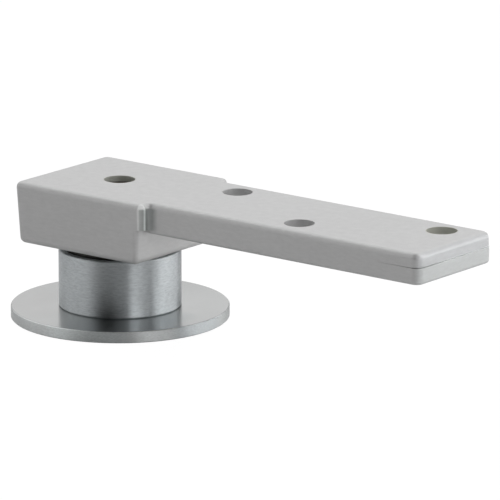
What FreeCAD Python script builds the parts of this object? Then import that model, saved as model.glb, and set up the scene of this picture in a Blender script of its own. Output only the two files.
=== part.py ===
import FreeCAD, Part
import math
import os

# Floor pivot hinge, in mm. Z is the pivot axis and the floor is z = 0. The cast arm points
# along +X. It turns on an upright spindle, carried by a thrust ball bearing that sits inside
# the plain steel sleeve above the round floor disc.

# Round floor disc, cut from stainless sheet
disc_diameter = 52.4
disc_thickness = 2.8
disc_edge_break = 0.2
floor_screw_count = 3
floor_screw_circle = 19.4
floor_screw_hole = 3.6
floor_screw_sink = 6.4

# Cover sleeve, a cut length of stainless tube
sleeve_diameter = 29.4
sleeve_wall = 1.5
sleeve_height = 14.0
sleeve_rim_radius = 0.3
sleeve_foot_break = 0.3

# Spindle, turned from bar, with a wider foot that carries the bearing seat
journal_diameter = 10.0
spindle_foot_diameter = 12.4
spindle_foot_height = 3.4
spindle_tip_chamfer = 1.0
spindle_below_land = 2.4
spindle_key_size = 5.0
spindle_key_depth = 5.0

# Countersunk screw that holds the spindle to the disc from below
fixing_screw_diameter = 5.0
fixing_screw_length = 10.0
fixing_screw_head = 9.2
fixing_screw_key = 3.0
fixing_screw_key_depth = 1.3
fixing_hole_spare = 2.0

# Pin that stops the spindle turning on the disc
locating_pin_diameter = 1.5
locating_pin_offset = 4.8
locating_pin_in_disc = 1.5
locating_pin_in_spindle = 2.2

# Bearing seat, a thick washer with a groove for the ring that grips the sleeve
seat_thickness = 2.6
seat_groove_width = 1.2
grip_ring_section = 1.0

# Thrust ball bearing
bearing_diameter = 24.0
bearing_height = 9.0
race_thickness = 2.9
ball_diameter = 4.7
ball_count = 9
ball_circle = 17.0
ball_play = 0.03
groove_extra_radius = 0.12
cage_thickness = 2.2
cage_rim = 0.35
cage_pocket_play = 0.15

# Wear washer and dust seal between the bearing and the arm
wear_washer_thickness = 0.6
wear_washer_bore = 10.8
seal_wall = 0.7
seal_lip_diameter = 27.4
seal_lip_height = 1.0
seal_skirt = 2.4

# Cast arm: the deep head over the pivot and the thinner strap that carries the door
arm_height = 15.0
head_width = 34.5
head_back_reach = 18.5
head_front_reach = 19.7
head_side_draft = 2.0
head_back_draft = 3.0
head_front_draft = 4.0
head_back_corner = 1.7
head_front_corner = 0.4
head_underside_radius = 1.5
arm_top_radius = 1.4
shoulder_step = 3.0
shoulder_lift = 1.1
shoulder_chamfer = 1.1
shoulder_fillet = 1.0
far_shoulder_chamfer = 1.9
far_shoulder_fillet = 0.3
strap_thickness = 7.4
strap_reach = 99.6
strap_corner = 2.1
strap_underside_radius = 0.8
strap_end_draft = 1.5
parting_above_strap = 4.0
parting_step = 0.16
flash_groove_height = 0.2
flash_groove_depth = 0.25
flash_groove_run = 12.0

# Bronze bush pressed into the head, and the hole above it that lets a key in
bush_wall = 1.5
bush_length = 12.6
bush_chamfer = 0.3
head_land = 1.5
key_hole_diameter = 7.5

# Staggered holes for the countersunk screws that go up into the door
door_screw_hole = 7.2
door_screw_head = 12.4
door_screw_land = 1.6
door_screw_first = 30.0
door_screw_end_margin = 9.6
door_screw_count = 3
door_screw_stagger = 7.4

# Clearances
running_clearance = 0.04
loose_clearance = 0.15
screw_clearance = 0.1
countersink_half_angle = 45.0
knit = 0.001

# Levels up the pivot axis
disc_top = disc_thickness
shoulder_level = disc_top + spindle_foot_height
seat_top = shoulder_level + seat_thickness
bearing_top = seat_top + bearing_height
arm_bottom = bearing_top + wear_washer_thickness
arm_top = arm_bottom + arm_height
strap_bottom = arm_top - strap_thickness
shoulder_bottom = strap_bottom + shoulder_lift
parting_level = strap_bottom + parting_above_strap
land_bottom = arm_top - head_land
spindle_top = land_bottom - spindle_below_land
ball_level = seat_top + bearing_height / 2
sleeve_bore = sleeve_diameter - 2 * sleeve_wall
bush_diameter = journal_diameter + 2 * bush_wall
strap_width = head_width - 2 * shoulder_step
door_screw_last = strap_reach - door_screw_end_margin
door_screw_pitch = (door_screw_last - door_screw_first) / (door_screw_count - 1)


def at(x, y, z):
    return FreeCAD.Vector(x, y, z)


def rod(diameter, bottom, top, x=0.0, y=0.0):
    return Part.makeCylinder(diameter / 2, top - bottom, at(x, y, bottom))


def ring(outer, bore, bottom, top):
    return rod(outer, bottom, top).cut(rod(bore, bottom, top))


def turned(profile):
    """Solid of revolution about Z from (radius, height) corners."""
    corners = [at(r, 0.0, z) for r, z in profile]
    face = Part.Face(Part.makePolygon(corners + corners[:1]))
    return face.revolve(at(0, 0, 0), at(0, 0, 1), 360.0)


def hexagon(across_flats, bottom, top):
    radius = across_flats / math.sqrt(3.0)
    turns = [math.radians(60.0 * k) for k in range(6)]
    corners = [at(radius * math.cos(t), radius * math.sin(t), bottom) for t in turns]
    face = Part.Face(Part.makePolygon(corners + corners[:1]))
    return face.extrude(at(0, 0, top - bottom))


def countersink(hole, mouth, mouth_level, outward):
    """Cone that opens from the hole's width to the mouth, towards outward (+1 up, -1 down)."""
    depth = (mouth - hole) / 2 / math.tan(math.radians(countersink_half_angle))
    axis = at(0, 0, -outward)
    return Part.makeCone(mouth / 2, hole / 2, depth, at(0, 0, mouth_level), axis)


def level_edges(shape, level, least=-math.inf):
    """Edges that lie in one horizontal plane, with their middles past a given x."""
    found = []
    for edge in shape.Edges:
        box = edge.BoundBox
        flat = abs(box.ZMin - level) < knit and abs(box.ZMax - level) < knit
        if flat and box.Center.x > least:
            found.append(edge)
    return found


def spread(part, count, first_turn=0.0):
    copies = []
    for k in range(count):
        copy = part.copy()
        copy.rotate(at(0, 0, 0), at(0, 0, 1), first_turn + 360.0 * k / count)
        copies.append(copy)
    return copies


def floor_disc():
    half = disc_diameter / 2
    disc = turned([
        (0.0, 0.0),
        (half - disc_edge_break, 0.0),
        (half, disc_edge_break),
        (half, disc_top - disc_edge_break),
        (half - disc_edge_break, disc_top),
        (0.0, disc_top),
    ])
    clear_hole = fixing_screw_diameter + 2 * screw_clearance
    disc = disc.cut(rod(clear_hole, 0.0, disc_top))
    disc = disc.cut(countersink(clear_hole, fixing_screw_head + 2 * screw_clearance, 0.0, -1))
    x = floor_screw_circle / 2
    hole = rod(floor_screw_hole, 0.0, disc_top, x)
    sink = countersink(floor_screw_hole, floor_screw_sink, disc_top, 1)
    sink.translate(at(x, 0, 0))
    for cut in spread(hole.fuse(sink), floor_screw_count, 60.0):
        disc = disc.cut(cut)
    pin_seat = rod(locating_pin_diameter, disc_top - locating_pin_in_disc, disc_top, locating_pin_offset)
    return disc.cut(pin_seat)


def cover_sleeve():
    tube = ring(sleeve_diameter, sleeve_bore, disc_top, disc_top + sleeve_height)
    outer = [e for e in tube.Edges if abs(e.BoundBox.XMax - sleeve_diameter / 2) < knit]
    rim = [e for e in outer if e.BoundBox.ZMin > disc_top + sleeve_height / 2]
    foot = [e for e in outer if e.BoundBox.ZMax < disc_top + sleeve_height / 2]
    tube = tube.makeFillet(sleeve_rim_radius, rim)
    return tube.makeChamfer(sleeve_foot_break, [match_edge(tube, e) for e in foot])


def match_edge(shape, wanted):
    """The edge of a changed shape that still lies where the wanted one did."""
    def miss(edge):
        return (edge.BoundBox.Center - wanted.BoundBox.Center).Length + abs(edge.Length - wanted.Length)
    return min(shape.Edges, key=miss)


def spindle():
    journal = journal_diameter / 2
    foot = spindle_foot_diameter / 2
    body = turned([
        (0.0, disc_top),
        (foot, disc_top),
        (foot, shoulder_level),
        (journal, shoulder_level),
        (journal, spindle_top - spindle_tip_chamfer),
        (journal - spindle_tip_chamfer, spindle_top),
        (0.0, spindle_top),
    ])
    tapped = rod(fixing_screw_diameter, disc_top, fixing_screw_length + fixing_hole_spare)
    key = hexagon(spindle_key_size, spindle_top - spindle_key_depth, spindle_top)
    pin_top = disc_top + locating_pin_in_spindle
    pin_hole = rod(locating_pin_diameter, disc_top, pin_top, locating_pin_offset)
    return body.cut(tapped).cut(key).cut(pin_hole)


def spindle_screw():
    shank = rod(fixing_screw_diameter, 0.0, fixing_screw_length)
    head = countersink(fixing_screw_diameter, fixing_screw_head, 0.0, -1)
    return shank.fuse(head).cut(hexagon(fixing_screw_key, 0.0, fixing_screw_key_depth))


def locating_pin():
    bottom = disc_top - locating_pin_in_disc
    top = disc_top + locating_pin_in_spindle
    return rod(locating_pin_diameter, bottom, top, locating_pin_offset)


def bearing_seat():
    outer = sleeve_bore - 2 * loose_clearance
    bore = journal_diameter + 2 * running_clearance
    seat = ring(outer, bore, shoulder_level, seat_top)
    middle = (shoulder_level + seat_top) / 2
    groove = ring(
        outer,
        sleeve_bore - 2 * grip_ring_section,
        middle - seat_groove_width / 2,
        middle + seat_groove_width / 2,
    )
    return seat.cut(groove)


def sleeve_grip_ring():
    middle = (shoulder_level + seat_top) / 2
    path_radius = sleeve_bore / 2 - grip_ring_section / 2
    return Part.makeTorus(path_radius, grip_ring_section / 2, at(0, 0, middle))


def lower_race():
    bore = journal_diameter + 2 * running_clearance
    race = ring(bearing_diameter, bore, seat_top, seat_top + race_thickness)
    radius = ball_diameter / 2 + groove_extra_radius
    centre = ball_level - ball_diameter / 2 - ball_play + radius
    return race.cut(Part.makeTorus(ball_circle / 2, radius, at(0, 0, centre)))


def upper_race():
    bore = journal_diameter + 2 * loose_clearance
    race = ring(bearing_diameter, bore, bearing_top - race_thickness, bearing_top)
    radius = ball_diameter / 2 + groove_extra_radius
    centre = ball_level + ball_diameter / 2 + ball_play - radius
    return race.cut(Part.makeTorus(ball_circle / 2, radius, at(0, 0, centre)))


def ball_cage():
    cage = ring(
        ball_circle + ball_diameter + 2 * cage_rim,
        ball_circle - ball_diameter - 2 * cage_rim,
        ball_level - cage_thickness / 2,
        ball_level + cage_thickness / 2,
    )
    pocket = Part.makeSphere(ball_diameter / 2 + cage_pocket_play, at(ball_circle / 2, 0, ball_level))
    for cut in spread(pocket, ball_count):
        cage = cage.cut(cut)
    return cage


def bearing_balls():
    ball = Part.makeSphere(ball_diameter / 2, at(ball_circle / 2, 0, ball_level))
    return Part.makeCompound(spread(ball, ball_count))


def wear_washer():
    return ring(bearing_diameter, wear_washer_bore, bearing_top, arm_bottom)


def dust_seal():
    inner = bearing_diameter / 2
    outer = inner + seal_wall
    lip = seal_lip_diameter / 2
    lip_bottom = arm_bottom - seal_lip_height
    return turned([
        (inner, lip_bottom - seal_skirt),
        (outer, lip_bottom - seal_skirt),
        (outer, lip_bottom),
        (lip, lip_bottom),
        (lip, arm_bottom),
        (inner, arm_bottom),
    ])


def bearing_bush():
    outer = bush_diameter / 2
    inner = journal_diameter / 2 + running_clearance
    top = land_bottom
    bottom = top - bush_length
    return turned([
        (inner + bush_chamfer, bottom),
        (outer - bush_chamfer, bottom),
        (outer, bottom + bush_chamfer),
        (outer, top),
        (inner, top),
        (inner, bottom + bush_chamfer),
    ])


def arc(start, end, centre):
    """Arc between two points about a centre, on the short side."""
    middle = (start + end) * 0.5 - centre
    middle.normalize()
    radius = (start - centre).Length
    return Part.Arc(start, centre + middle * radius, end).toShape()


def closed_wire(near, far):
    """Closed wire made of the edges on the -Y side and of the far ones' mirror image."""
    other = [edge.mirror(at(0, 0, 0), at(0, 1, 0)) for edge in reversed(far)]
    return Part.Wire(near + other)


def drafted(reach, level, angle):
    return reach - (arm_top - level) * math.tan(math.radians(angle))


def head_side(level, front):
    """Edges of the head's plan from the middle of its back to the front end of its side."""
    half = drafted(head_width / 2, level, head_side_draft)
    back = -drafted(head_back_reach, level, head_back_draft)
    r = head_back_corner
    return [
        Part.makeLine(at(back, 0, level), at(back, -half + r, level)),
        arc(at(back, -half + r, level), at(back + r, -half, level), at(back + r, -half + r, level)),
        Part.makeLine(at(back + r, -half, level), at(front, -half, level)),
    ]


def strap_side(level, start, tip):
    """Edges of the strap's plan from its start to the middle of its tip."""
    half = strap_width / 2
    r = strap_corner
    return [
        Part.makeLine(at(start, -half, level), at(tip - r, -half, level)),
        arc(at(tip - r, -half, level), at(tip, -half + r, level), at(tip - r, -half + r, level)),
        Part.makeLine(at(tip, -half + r, level), at(tip, 0, level)),
    ]


def head_outline(level):
    """Plan of the head's lower block, which narrows downwards as the die's draft asks."""
    half = drafted(head_width / 2, level, head_side_draft)
    front = drafted(head_front_reach, level, head_front_draft)
    side = head_side(level, front) + [Part.makeLine(at(front, -half, level), at(front, 0, level))]
    return closed_wire(side, side)


def arm_side(level, tip, chamfer, fillet):
    """Edges of one side of the arm: head, chamfered shoulder, inner fillet and strap."""
    half = drafted(head_width / 2, level, head_side_draft)
    strap = strap_width / 2
    face = head_front_reach + shoulder_chamfer
    corner = at(face, -half + chamfer, level)
    inside = at(face, -strap - fillet, level)
    root = at(face + fillet, -strap, level)
    return head_side(level, face - chamfer) + [
        Part.makeLine(at(face - chamfer, -half, level), corner),
        Part.makeLine(corner, inside),
        arc(inside, root, at(face + fillet, -strap - fillet, level)),
    ] + strap_side(level, face + fillet, tip)


def arm_outline(level, tip):
    """Plan of the arm from the shoulders up. The chamfer on the far shoulder is the larger."""
    near = arm_side(level, tip, shoulder_chamfer, shoulder_fillet)
    far = arm_side(level, tip, far_shoulder_chamfer, far_shoulder_fillet)
    return closed_wire(near, far)


def strap_outline(level, tip):
    """Plan of the strap alone, from the pivot axis on."""
    root = Part.makeLine(at(0, 0, level), at(0, -strap_width / 2, level))
    side = [root] + strap_side(level, 0, tip)
    return closed_wire(side, side)


def tip_at(level, reach):
    """Where the tip's end face is, which leans back above and below the parting."""
    return reach - abs(level - parting_level) * math.tan(math.radians(strap_end_draft))


def ruled_solid(low, high):
    return Part.makeLoft([low, high], True, True)


def head_block():
    """The head below the shoulders, rounded along the bottom and then up its front corners."""
    block = ruled_solid(head_outline(arm_bottom), head_outline(shoulder_bottom))
    block = block.makeFillet(head_underside_radius, level_edges(block, arm_bottom))
    corners = []
    for edge in block.Edges:
        middle = edge.BoundBox.Center
        upright = edge.BoundBox.ZLength > (shoulder_bottom - arm_bottom) / 2
        if upright and middle.x > 0 and abs(middle.y) > strap_width / 2:
            corners.append(edge)
    return block.makeFillet(head_front_corner, corners)


def arm_blank():
    """The casting before machining, in drafted layers that meet at the die's parting."""
    upper_reach = strap_reach - parting_step
    low_tip = tip_at(strap_bottom, strap_reach)
    step_tip = tip_at(shoulder_bottom, strap_reach)
    sole = ruled_solid(strap_outline(strap_bottom, low_tip), strap_outline(shoulder_bottom, step_tip))
    sole = sole.makeFillet(strap_underside_radius, level_edges(sole, strap_bottom, knit))
    lower = ruled_solid(arm_outline(shoulder_bottom, step_tip), arm_outline(parting_level, strap_reach))
    upper = ruled_solid(
        arm_outline(parting_level, upper_reach),
        arm_outline(arm_top, tip_at(arm_top, upper_reach)),
    )
    blank = head_block().fuse([sole, lower, upper]).removeSplitter()
    return blank.makeFillet(arm_top_radius, level_edges(blank, arm_top))


def flash_groove():
    """Thin cut above the parting, deepest round the strap's tip and fading along its sides."""
    level = parting_level
    start = strap_reach - flash_groove_run
    tip = strap_reach - parting_step - flash_groove_depth
    half = strap_width / 2
    near = half - flash_groove_depth
    r = strap_corner
    side = [
        Part.makeLine(at(start, 0, level), at(start, -half, level)),
        Part.makeLine(at(start, -half, level), at(tip - r, -near, level)),
        arc(at(tip - r, -near, level), at(tip, -near + r, level), at(tip - r, -near + r, level)),
        Part.makeLine(at(tip, -near + r, level), at(tip, 0, level)),
    ]
    core = Part.Face(closed_wire(side, side)).extrude(at(0, 0, flash_groove_height))
    corner = at(start, -half, level)
    return Part.makeBox(flash_groove_run, 2 * half, flash_groove_height, corner).cut(core)


def door_screw_places():
    places = []
    for k in range(door_screw_count):
        side = 1.0 if k % 2 == 0 else -1.0
        places.append((door_screw_first + k * door_screw_pitch, side * door_screw_stagger))
    return places


def door_screw_cut(x, y):
    """Through hole, with a cone and a wide bore below that let the screw head in."""
    land_level = arm_top - door_screw_land
    cone_depth = (door_screw_head - door_screw_hole) / 2 / math.tan(math.radians(countersink_half_angle))
    cone_mouth = land_level - cone_depth
    cut = rod(door_screw_hole, strap_bottom, arm_top)
    cut = cut.fuse(countersink(door_screw_hole, door_screw_head, cone_mouth, -1))
    cut = cut.fuse(rod(door_screw_head, strap_bottom, cone_mouth))
    cut.translate(at(x, y, 0))
    return cut


def arm_casting():
    arm = arm_blank()
    arm = arm.cut(rod(bush_diameter, arm_bottom, land_bottom))
    arm = arm.cut(rod(key_hole_diameter, land_bottom, arm_top))
    for x, y in door_screw_places():
        arm = arm.cut(door_screw_cut(x, y))
    return arm.cut(flash_groove())


pieces = {
    "floor_disc": floor_disc(),
    "cover_sleeve": cover_sleeve(),
    "spindle": spindle(),
    "spindle_screw": spindle_screw(),
    "locating_pin": locating_pin(),
    "bearing_seat": bearing_seat(),
    "sleeve_grip_ring": sleeve_grip_ring(),
    "lower_race": lower_race(),
    "upper_race": upper_race(),
    "ball_cage": ball_cage(),
    "bearing_balls": bearing_balls(),
    "wear_washer": wear_washer(),
    "dust_seal": dust_seal(),
    "bearing_bush": bearing_bush(),
    "arm_casting": arm_casting(),
}

os.makedirs("parts", exist_ok=True)
for name, shape in pieces.items():
    shape.exportStep("parts/" + name + ".step")
    box = shape.BoundBox
    print(name, "valid", shape.isValid(), "solids", len(shape.Solids), "volume", round(shape.Volume, 1),
          "z", round(box.ZMin, 2), round(box.ZMax, 2), "x", round(box.XMin, 2), round(box.XMax, 2))
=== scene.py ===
import bpy
import math
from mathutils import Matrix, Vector

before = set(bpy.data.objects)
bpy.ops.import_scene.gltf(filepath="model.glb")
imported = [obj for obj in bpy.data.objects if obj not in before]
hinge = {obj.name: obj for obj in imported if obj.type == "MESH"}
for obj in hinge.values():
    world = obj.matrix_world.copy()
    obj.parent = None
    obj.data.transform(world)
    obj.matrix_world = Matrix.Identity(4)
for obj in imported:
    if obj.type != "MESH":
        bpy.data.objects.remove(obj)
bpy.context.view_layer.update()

# Floor disc: a blank cut from 2.8 mm stainless sheet. Its flat face has the mill's fine
# straight satin grain, and its edge was turned, which leaves faint lines round it. The face
# carries a painted reflection of the sleeve in front of it and beside it, and painted shade at
# the left. The edge has a painted highlight at the front and painted shade at the right.


def new_finish(name):
    finish = bpy.data.materials.new(name)
    finish.use_nodes = True
    return finish, finish.node_tree.nodes, finish.node_tree.links


def grain(nodes, links, stretch, detail=4.0, harshness=0.6):
    """Noise in the piece's own metres, drawn out by the three stretch factors."""
    place = nodes.new("ShaderNodeTexCoord")
    drawn = nodes.new("ShaderNodeMapping")
    drawn.inputs["Scale"].default_value = stretch
    noise = nodes.new("ShaderNodeTexNoise")
    noise.inputs["Scale"].default_value = 1.0
    noise.inputs["Detail"].default_value = detail
    noise.inputs["Roughness"].default_value = harshness
    links.new(place.outputs["Object"], drawn.inputs["Vector"])
    links.new(drawn.outputs["Vector"], noise.inputs["Vector"])
    return noise.outputs["Fac"]


def between(nodes, links, amount, low, high):
    """Turns a 0 to 1 pattern into a value between low and high."""
    scaled = nodes.new("ShaderNodeMapRange")
    scaled.inputs["From Min"].default_value = 0.3
    scaled.inputs["From Max"].default_value = 0.7
    scaled.inputs["To Min"].default_value = low
    scaled.inputs["To Max"].default_value = high
    links.new(amount, scaled.inputs["Value"])
    return scaled.outputs["Result"]


def tint(nodes, links, amount, dark, light):
    """Turns a 0 to 1 pattern into a colour between dark and light."""
    ramp = nodes.new("ShaderNodeValToRGB")
    ramp.color_ramp.elements[0].position = 0.3
    ramp.color_ramp.elements[0].color = (*dark, 1.0)
    ramp.color_ramp.elements[1].position = 0.7
    ramp.color_ramp.elements[1].color = (*light, 1.0)
    links.new(amount, ramp.inputs["Fac"])
    return ramp.outputs["Color"]


def relief(nodes, links, pattern, height, strength, under=None):
    """Fine bumps of the given height in metres, on top of any others."""
    bump = nodes.new("ShaderNodeBump")
    bump.inputs["Distance"].default_value = height
    bump.inputs["Strength"].default_value = strength
    links.new(pattern, bump.inputs["Height"])
    if under is not None:
        links.new(under, bump.inputs["Normal"])
    return bump.outputs["Normal"]


def close_to(nodes, links, middle, count, full, reach):
    """1 as far as full from a place and 0 past reach, in metres. count scales each axis."""
    place = nodes.new("ShaderNodeTexCoord")
    offset = nodes.new("ShaderNodeVectorMath")
    offset.operation = "SUBTRACT"
    offset.inputs[1].default_value = middle
    counted = nodes.new("ShaderNodeVectorMath")
    counted.operation = "MULTIPLY"
    counted.inputs[1].default_value = count
    away = nodes.new("ShaderNodeVectorMath")
    away.operation = "LENGTH"
    fade = nodes.new("ShaderNodeMapRange")
    fade.inputs["From Min"].default_value = full
    fade.inputs["From Max"].default_value = reach
    fade.inputs["To Min"].default_value = 1.0
    fade.inputs["To Max"].default_value = 0.0
    links.new(place.outputs["Object"], offset.inputs[0])
    links.new(offset.outputs["Vector"], counted.inputs[0])
    links.new(counted.outputs["Vector"], away.inputs[0])
    links.new(away.outputs["Value"], fade.inputs["Value"])
    return fade.outputs["Result"]


def round_post(nodes, links, x, y, full, reach):
    """1 near an upright line through x and y, whatever the height."""
    return close_to(nodes, links, (x, y, 0.0), (1.0, 1.0, 0.0), full, reach)


def blended(nodes, links, amount, first, second):
    """The first colour or value where the amount is 0, and the second where it is 1."""
    mix = nodes.new("ShaderNodeMix")
    mix.data_type = "RGBA"
    links.new(amount, mix.inputs[0])
    links.new(first, mix.inputs[6])
    links.new(second, mix.inputs[7])
    return mix.outputs[2]


def shade(nodes, links, colour, where, factor):
    """Multiplies a colour by a factor per channel where the pattern is 1."""
    scaled = nodes.new("ShaderNodeMix")
    scaled.data_type = "RGBA"
    scaled.blend_type = "MULTIPLY"
    links.new(where, scaled.inputs[0])
    links.new(colour, scaled.inputs[6])
    scaled.inputs[7].default_value = (*factor, 1.0)
    return scaled.outputs[2]


def spotted(nodes, links, colour, spots):
    """Shades a colour in round spots, each with its x, y, full radius, reach and factor."""
    for x, y, full, reach, factor in spots:
        colour = shade(nodes, links, colour, round_post(nodes, links, x, y, full, reach), factor)
    return colour


def draw_gloss_round(finish, strength):
    """Draws the gloss out across lines that run round the piece's own z axis."""
    nodes, links = finish.node_tree.nodes, finish.node_tree.links
    steel = nodes["Principled BSDF"]
    steel.inputs["Anisotropic"].default_value = strength
    steel.inputs["Anisotropic Rotation"].default_value = 0.25
    round_z = nodes.new("ShaderNodeTangent")
    round_z.direction_type = "RADIAL"
    round_z.axis = "Z"
    links.new(round_z.outputs["Tangent"], steel.inputs["Tangent"])


def coat(node_name, finish):
    node = hinge[node_name]
    for place in node.material_slots:
        place.material = finish


disc_finish, nodes, links = new_finish("disc satin stainless")
steel = nodes["Principled BSDF"]
steel.inputs["Metallic"].default_value = 1.0
face_grain = grain(nodes, links, (300.0, 9000.0, 9000.0))
edge_lines = grain(nodes, links, (1500.0, 1500.0, 6000.0))
cloud = grain(nodes, links, (90.0, 90.0, 90.0), 2.0)

face_radius = 0.0260
edge_start = 0.0261
# Painted reflection of the sleeve darkens the face in front of it and beside it; painted shade
# darkens it at the left.
painted_sleeve_reflection_front = (0.0150, -0.0160, 0.0095, 0.0150, (0.84, 0.86, 0.88))
painted_sleeve_reflection_right = (0.0178, -0.0015, 0.0030, 0.0065, (0.87, 0.89, 0.90))
painted_shade_left = (-0.0160, -0.0125, 0.0080, 0.0160, (0.95, 0.94, 0.94))
# Painted highlight on the edge at the front, and painted shade on it at the right.
painted_edge_highlight_front = (0.0090, -0.0246, 0.0070, 0.0115, (1.15, 1.17, 1.17))
painted_edge_shade_right = (0.0262, -0.0020, 0.0060, 0.0090, (0.90, 0.92, 0.94))
on_face = round_post(nodes, links, 0.0, 0.0, face_radius, edge_start)
face = tint(nodes, links, cloud, (0.400, 0.407, 0.406), (0.424, 0.432, 0.431))
face = spotted(nodes, links, face, (painted_sleeve_reflection_front, painted_sleeve_reflection_right, painted_shade_left))
edge = tint(nodes, links, edge_lines, (0.60, 0.62, 0.62), (0.79, 0.81, 0.81))
edge = spotted(nodes, links, edge, (painted_edge_highlight_front, painted_edge_shade_right))
links.new(blended(nodes, links, on_face, edge, face), steel.inputs["Base Color"])

edge_roughness = between(nodes, links, edge_lines, 0.36, 0.50)
face_roughness = between(nodes, links, face_grain, 0.17, 0.23)
links.new(
    blended(nodes, links, on_face, edge_roughness, face_roughness),
    steel.inputs["Roughness"],
)
links.new(relief(nodes, links, face_grain, 0.00001, 0.15), steel.inputs["Normal"])
draw_gloss_round(disc_finish, 0.8)
coat("floor_disc", disc_finish)

# Spindle with its countersunk screw and locating pin. The spindle and the bearing seat are
# turned from bar and ground, and the screw and pin are bright zinc plated.


def grained(name, metallic, stretch, colours, roughness, bumps=None, detail=4.0, harshness=0.6):
    """A finish in which one grain sets the colour, the roughness and any bumps."""
    finish, nodes, links = new_finish(name)
    surface = nodes["Principled BSDF"]
    surface.inputs["Metallic"].default_value = metallic
    pattern = grain(nodes, links, stretch, detail, harshness)
    links.new(tint(nodes, links, pattern, *colours), surface.inputs["Base Color"])
    links.new(between(nodes, links, pattern, *roughness), surface.inputs["Roughness"])
    if bumps is not None:
        height, strength = bumps
        links.new(relief(nodes, links, pattern, height, strength), surface.inputs["Normal"])
    return finish


spindle_finish = grained(
    "turned spindle steel",
    metallic=1.0,
    stretch=(250.0, 250.0, 12000.0),
    colours=((0.50, 0.50, 0.51), (0.59, 0.59, 0.60)),
    roughness=(0.22, 0.36),
    bumps=(0.00001, 0.3),
)
coat("spindle", spindle_finish)
coat("bearing_seat", spindle_finish)

screw_finish = grained(
    "zinc plated screw",
    metallic=1.0,
    stretch=(1800.0, 1800.0, 1800.0),
    colours=((0.46, 0.47, 0.50), (0.55, 0.55, 0.54)),
    roughness=(0.25, 0.42),
    bumps=(0.00001, 0.2),
)
coat("spindle_screw", screw_finish)
coat("locating_pin", screw_finish)

# Thrust ball bearing: two ground washers with nine polished balls in a machined brass cage.
# It stands on the seat, and the arm turns on its upper washer.

race_finish = grained(
    "ground bearing steel",
    metallic=1.0,
    stretch=(400.0, 400.0, 15000.0),
    colours=((0.62, 0.62, 0.63), (0.70, 0.70, 0.71)),
    roughness=(0.12, 0.24),
)
coat("lower_race", race_finish)
coat("upper_race", race_finish)

ball_finish = grained(
    "polished ball steel",
    metallic=1.0,
    stretch=(700.0, 700.0, 700.0),
    colours=((0.76, 0.76, 0.77), (0.82, 0.82, 0.83)),
    roughness=(0.04, 0.12),
    detail=2.0,
)
coat("bearing_balls", ball_finish)

cage_finish = grained(
    "machined cage brass",
    metallic=1.0,
    stretch=(300.0, 300.0, 9000.0),
    colours=((0.66, 0.49, 0.22), (0.77, 0.61, 0.32)),
    roughness=(0.25, 0.4),
)
coat("ball_cage", cage_finish)

# Cover sleeve: a cut length of stainless tube, brushed round while it spins. The rubber ring
# inside it grips the bearing seat and keeps it on.

sleeve_finish = grained(
    "sleeve brushed stainless",
    metallic=1.0,
    stretch=(700.0, 700.0, 3000.0),
    colours=((0.475, 0.507, 0.522), (0.735, 0.770, 0.787)),
    roughness=(0.33, 0.47),
    bumps=(0.00002, 0.35),
    detail=5.0,
    harshness=0.7,
)
draw_gloss_round(sleeve_finish, 0.93)
coat("cover_sleeve", sleeve_finish)

rubber_finish = grained(
    "black nitrile rubber",
    metallic=0.0,
    stretch=(900.0, 900.0, 900.0),
    colours=((0.032, 0.032, 0.028), (0.052, 0.052, 0.045)),
    roughness=(0.55, 0.8),
    bumps=(0.00002, 0.3),
)
coat("sleeve_grip_ring", rubber_finish)

# Between bearing and arm: a black acetal wear washer, the rubber dust seal whose lip fills the
# gap over the sleeve's rim, and the sintered bronze bush that is pressed into the head.

coat("dust_seal", rubber_finish)

washer_finish = grained(
    "black acetal",
    metallic=0.0,
    stretch=(1200.0, 1200.0, 1200.0),
    colours=((0.018, 0.018, 0.019), (0.03, 0.03, 0.031)),
    roughness=(0.35, 0.5),
)
coat("wear_washer", washer_finish)

bush_finish = grained(
    "oiled sintered bronze",
    metallic=1.0,
    stretch=(4000.0, 4000.0, 4000.0),
    colours=((0.12, 0.09, 0.06), (0.22, 0.16, 0.10)),
    roughness=(0.35, 0.55),
    bumps=(0.00002, 0.4),
)
coat("bearing_bush", bush_finish)

# Arm: one zinc die casting, shot blasted and lacquered silver grey. The lacquer is satin, with
# the fine even tooth of the blasted skin under it. Painted shade and painted highlights lie
# round the shoulder on its near side, and painted light and shade change its tone toward the
# tip.


def across(nodes, links, axis, place, full, reach):
    """1 near the plane that lies across the axis at that place."""
    count = [1.0 if axis == each else 0.0 for each in "xyz"]
    middle = [place * each for each in count]
    return close_to(nodes, links, middle, count, full, reach)


def both(nodes, links, first, second):
    """Where both patterns are, 1, and 0 where either isn't."""
    product = nodes.new("ShaderNodeMath")
    product.operation = "MULTIPLY"
    links.new(first, product.inputs[0])
    links.new(second, product.inputs[1])
    return product.outputs["Value"]


arm_top = 0.0334
arm_tip = 0.0996
head_end_face = 0.0195
parting_height = 0.0301
key_hole_film = (0.0, 0.0, 0.0038, 0.0039, (0.93, 0.94, 0.86))
tip_hole_film = (0.090, 0.0074, 0.0037, 0.0038, (0.88, 0.885, 0.79))

arm_finish, nodes, links = new_finish("silver lacquer on casting")
paint = nodes["Principled BSDF"]
paint.inputs["Metallic"].default_value = 0.4
tooth = grain(nodes, links, (3200.0, 3200.0, 3200.0), 3.0)
mottle = grain(nodes, links, (500.0, 500.0, 1800.0))
skin = tint(nodes, links, mottle, (0.575, 0.575, 0.575), (0.625, 0.625, 0.625))
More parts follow.
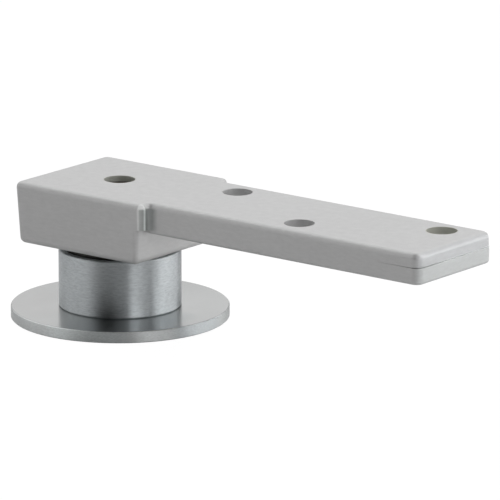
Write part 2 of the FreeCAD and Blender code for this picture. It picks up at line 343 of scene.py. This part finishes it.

# Painted shade darkens the shoulder's slope, and a painted highlight lies on its rolled top.
# Painted shade darkens the corner behind it, and its two upright edges carry painted highlights.
below_top = across(nodes, links, "z", 0.0296, 0.0024, 0.0029)
top_roll = across(nodes, links, "z", arm_top, 0.0010, 0.0014)
slope = round_post(nodes, links, 0.02025, -0.01657, 0.0006, 0.0010)
inner_corner = round_post(nodes, links, 0.0213, -0.0152, 0.0007, 0.0022)
painted_shade_slope = both(nodes, links, slope, below_top)
painted_highlight_roll = both(nodes, links, slope, top_roll)
painted_shade_corner = both(nodes, links, inner_corner, below_top)
skin = shade(nodes, links, skin, painted_shade_slope, (0.92, 0.94, 0.93))
skin = shade(nodes, links, skin, painted_shade_corner, (0.62, 0.65, 0.64))
skin = shade(nodes, links, skin, painted_highlight_roll, (1.7, 1.72, 1.72))
for edge_x, edge_y, gain in ((0.0197, -0.01712, 1.38), (0.0208, -0.01588, 2.3)):
    upright_edge = round_post(nodes, links, edge_x, edge_y, 0.00015, 0.00040)
    painted_upright_highlight = both(nodes, links, upright_edge, below_top)
    skin = shade(nodes, links, skin, painted_upright_highlight, (gain, gain, gain))

# Painted light makes the head's end under the strap a little paler, where the strap shades it.
head_end = across(nodes, links, "x", head_end_face, 0.0007, 0.0012)
under_strap = across(nodes, links, "z", 0.0200, 0.0068, 0.0071)
painted_light_head_end = both(nodes, links, head_end, under_strap)
skin = shade(nodes, links, skin, painted_light_head_end, (1.10, 1.10, 1.10))

# Painted shade makes the tip's end darker and cooler, with painted light below the parting line.
# A painted highlight lies on the line on the far side, where its groove fades out, and painted
# shade darkens the strap a trace toward the tip.
tip_end = across(nodes, links, "x", 0.1005, 0.0013, 0.0024)
below_parting = across(nodes, links, "z", 0.0270, 0.0030, 0.0031)
painted_light_tip_low = both(nodes, links, tip_end, below_parting)
skin = shade(nodes, links, skin, tip_end, (0.955, 0.97, 0.985))
skin = shade(nodes, links, skin, painted_light_tip_low, (1.045, 1.055, 1.035))
parting = across(nodes, links, "z", parting_height, 0.00013, 0.0002)
far_part = across(nodes, links, "y", 0.005, 0.009, 0.013)
painted_highlight_parting = both(nodes, links, parting, far_part)
skin = shade(nodes, links, skin, painted_highlight_parting, (1.35, 1.35, 1.35))
toward_tip = across(nodes, links, "x", arm_tip, 0.030, 0.060)
skin = shade(nodes, links, skin, toward_tip, (0.965, 0.965, 0.965))

# An olive film lies on the walls of the key hole and of the screw hole at the tip.
skin = spotted(nodes, links, skin, (key_hole_film, tip_hole_film))
links.new(skin, paint.inputs["Base Color"])
links.new(between(nodes, links, tooth, 0.37, 0.43), paint.inputs["Roughness"])

# The lacquer rounds off the head's lower corner, and only there: elsewhere it would blur the
# crisp rims of the holes.
rounded = nodes.new("ShaderNodeBevel")
rounded.samples = 8
rounded.inputs["Radius"].default_value = 0.0020
plain = nodes.new("ShaderNodeNewGeometry")
head_corner = round_post(nodes, links, 0.0190, -0.0167, 0.0030, 0.0040)
lower_corner = both(nodes, links, head_corner, under_strap)
skin_facing = blended(
    nodes, links, lower_corner, plain.outputs["Normal"], rounded.outputs["Normal"]
)
links.new(relief(nodes, links, tooth, 0.00002, 0.3, skin_facing), paint.inputs["Normal"])
coat("arm_casting", arm_finish)

# Table: a plain pale satin board that the hinge stands on. The camera sees it as white, as it
# sees the backdrop, with a trace of the hinge's soft shadow left in it.

table_size = 6.0
gap_under_disc = 0.0001
whiteness = 0.92
bpy.ops.mesh.primitive_plane_add(size=table_size, location=(0.0, 0.0, -gap_under_disc))
table = bpy.context.object
table.name = "table"
table_finish, nodes, links = new_finish("pale board")
board = nodes["Principled BSDF"]
board.inputs["Base Color"].default_value = (0.7, 0.7, 0.7, 1.0)
board.inputs["Roughness"].default_value = 0.4
white = nodes.new("ShaderNodeEmission")
white.inputs["Strength"].default_value = 1.06
as_seen = nodes.new("ShaderNodeMixShader")
as_seen.inputs["Fac"].default_value = whiteness
links.new(board.outputs["BSDF"], as_seen.inputs[1])
links.new(white.outputs["Emission"], as_seen.inputs[2])
seen = nodes.new("ShaderNodeLightPath")
mix = nodes.new("ShaderNodeMixShader")
links.new(seen.outputs["Is Camera Ray"], mix.inputs["Fac"])
links.new(board.outputs["BSDF"], mix.inputs[1])
links.new(as_seen.outputs["Shader"], mix.inputs[2])
links.new(mix.outputs["Shader"], nodes["Material Output"].inputs["Surface"])
table.data.materials.append(table_finish)

# Studio: soft white panels round the table, each a round patch of the world that fades out at
# its edge. The camera stands in the dark side of the room, and it alone sees the backdrop as
# plain white: the steel mirrors the panels.

camera_round = math.radians(38.403)
studio = bpy.data.worlds.new("studio")
bpy.context.scene.world = studio
studio.use_nodes = True
nodes, links = studio.node_tree.nodes, studio.node_tree.links
toward = nodes.new("ShaderNodeTexCoord").outputs["Generated"]


def facing_out(side, rise):
    """Direction from the hinge, in degrees. side is measured from the camera, to its right."""
    turn, lift = camera_round + math.radians(side), math.radians(rise)
    return Vector((
        math.sin(turn) * math.cos(lift),
        -math.cos(turn) * math.cos(lift),
        math.sin(lift),
    ))


def panel(side, rise, spread, brightness):
    """Light from a patch of the world, with its half-angle in degrees."""
    facing = nodes.new("ShaderNodeVectorMath")
    facing.operation = "DOT_PRODUCT"
    facing.inputs[1].default_value = facing_out(side, rise)
    links.new(toward, facing.inputs[0])
    angle = nodes.new("ShaderNodeMath")
    angle.operation = "ARCCOSINE"
    links.new(facing.outputs["Value"], angle.inputs[0])
    glow = nodes.new("ShaderNodeMapRange")
    glow.interpolation_type = "SMOOTHSTEP"
    glow.inputs["From Min"].default_value = math.radians(spread / 2)
    glow.inputs["From Max"].default_value = math.radians(spread)
    glow.inputs["To Min"].default_value = brightness
    glow.inputs["To Max"].default_value = 0.0
    links.new(angle.outputs["Value"], glow.inputs["Value"])
    return glow.outputs["Result"]


room = panel(-180, 45, 50, 1.152)
for side, rise, spread, brightness in (
    (-105, 10, 70, 0.364),
    (-90, 30, 50, 0.418),
    (15, 45, 25, 0.561),
    (30, 20, 15, 2.653),
    (90, 0, 25, 3.026),
    (90, 60, 15, 3.098),
    (120, 10, 15, 2.993),
):
    added = nodes.new("ShaderNodeMath")
    added.operation = "ADD"
    links.new(room, added.inputs[0])
    links.new(panel(side, rise, spread, brightness), added.inputs[1])
    room = added.outputs["Value"]
panels = nodes["Background"]
links.new(room, panels.inputs["Strength"])
panels.inputs["Color"].default_value = (1.0, 1.0, 1.0, 1.0)
backdrop = nodes.new("ShaderNodeBackground")
backdrop.inputs["Color"].default_value = (1.0, 1.0, 1.0, 1.0)
seen = nodes.new("ShaderNodeLightPath")
mix = nodes.new("ShaderNodeMixShader")
links.new(seen.outputs["Is Camera Ray"], mix.inputs["Fac"])
links.new(panels.outputs["Background"], mix.inputs[1])
links.new(backdrop.outputs["Background"], mix.inputs[2])
links.new(mix.outputs["Shader"], nodes["World Output"].inputs["Surface"])

# Soft boxes: six small glowing boards on the right, close to the strap. Each faces the strap
# and hides what is behind it, and the camera sees none of them.

strap_place = Vector((0.07, 0.0, 0.02))
board_size = 0.12
board_distance = 0.3


def soft_box(side, rise, brightness):
    out = facing_out(side, rise)
    place = strap_place + out * board_distance
    bpy.ops.mesh.primitive_plane_add(size=board_size, location=place)
    box = bpy.context.object
    box.rotation_euler = out.to_track_quat("Z", "Y").to_euler()
    glow_finish, nodes, links = new_finish("soft box")
    nodes.remove(nodes["Principled BSDF"])
    glow = nodes.new("ShaderNodeEmission")
    glow.inputs["Strength"].default_value = brightness
    links.new(glow.outputs["Emission"], nodes["Material Output"].inputs["Surface"])
    box.data.materials.append(glow_finish)
    box.visible_camera = False
    box.visible_shadow = False


soft_box(45, 8, 1.49)
soft_box(75, 8, 1.31)
soft_box(75, 35, 3.60)
soft_box(105, 8, 1.83)
soft_box(105, 35, 1.07)
soft_box(135, 8, 1.32)

# Camera: a long lens a little above the hinge, looking along the arm from its near side. It is
# aimed near the hinge's middle, and the photograph's frame sets its distance and lens.

camera_height_angle = 14.303
camera_distance = 1.3797
aim = Vector((0.03965, -0.000044, 0.022305))
camera = bpy.data.objects.new("camera", bpy.data.cameras.new("camera"))
bpy.context.scene.collection.objects.link(camera)
camera.data.sensor_width = 36.0
camera.data.lens = 423.7
camera.data.clip_start = 0.1
camera.data.clip_end = 20.0
away = facing_out(0.0, camera_height_angle)
camera.location = aim + away * camera_distance
camera.rotation_euler = away.to_track_quat("Z", "Y").to_euler()
bpy.context.scene.camera = camera
bpy.context.scene.view_settings.view_transform = "Standard"
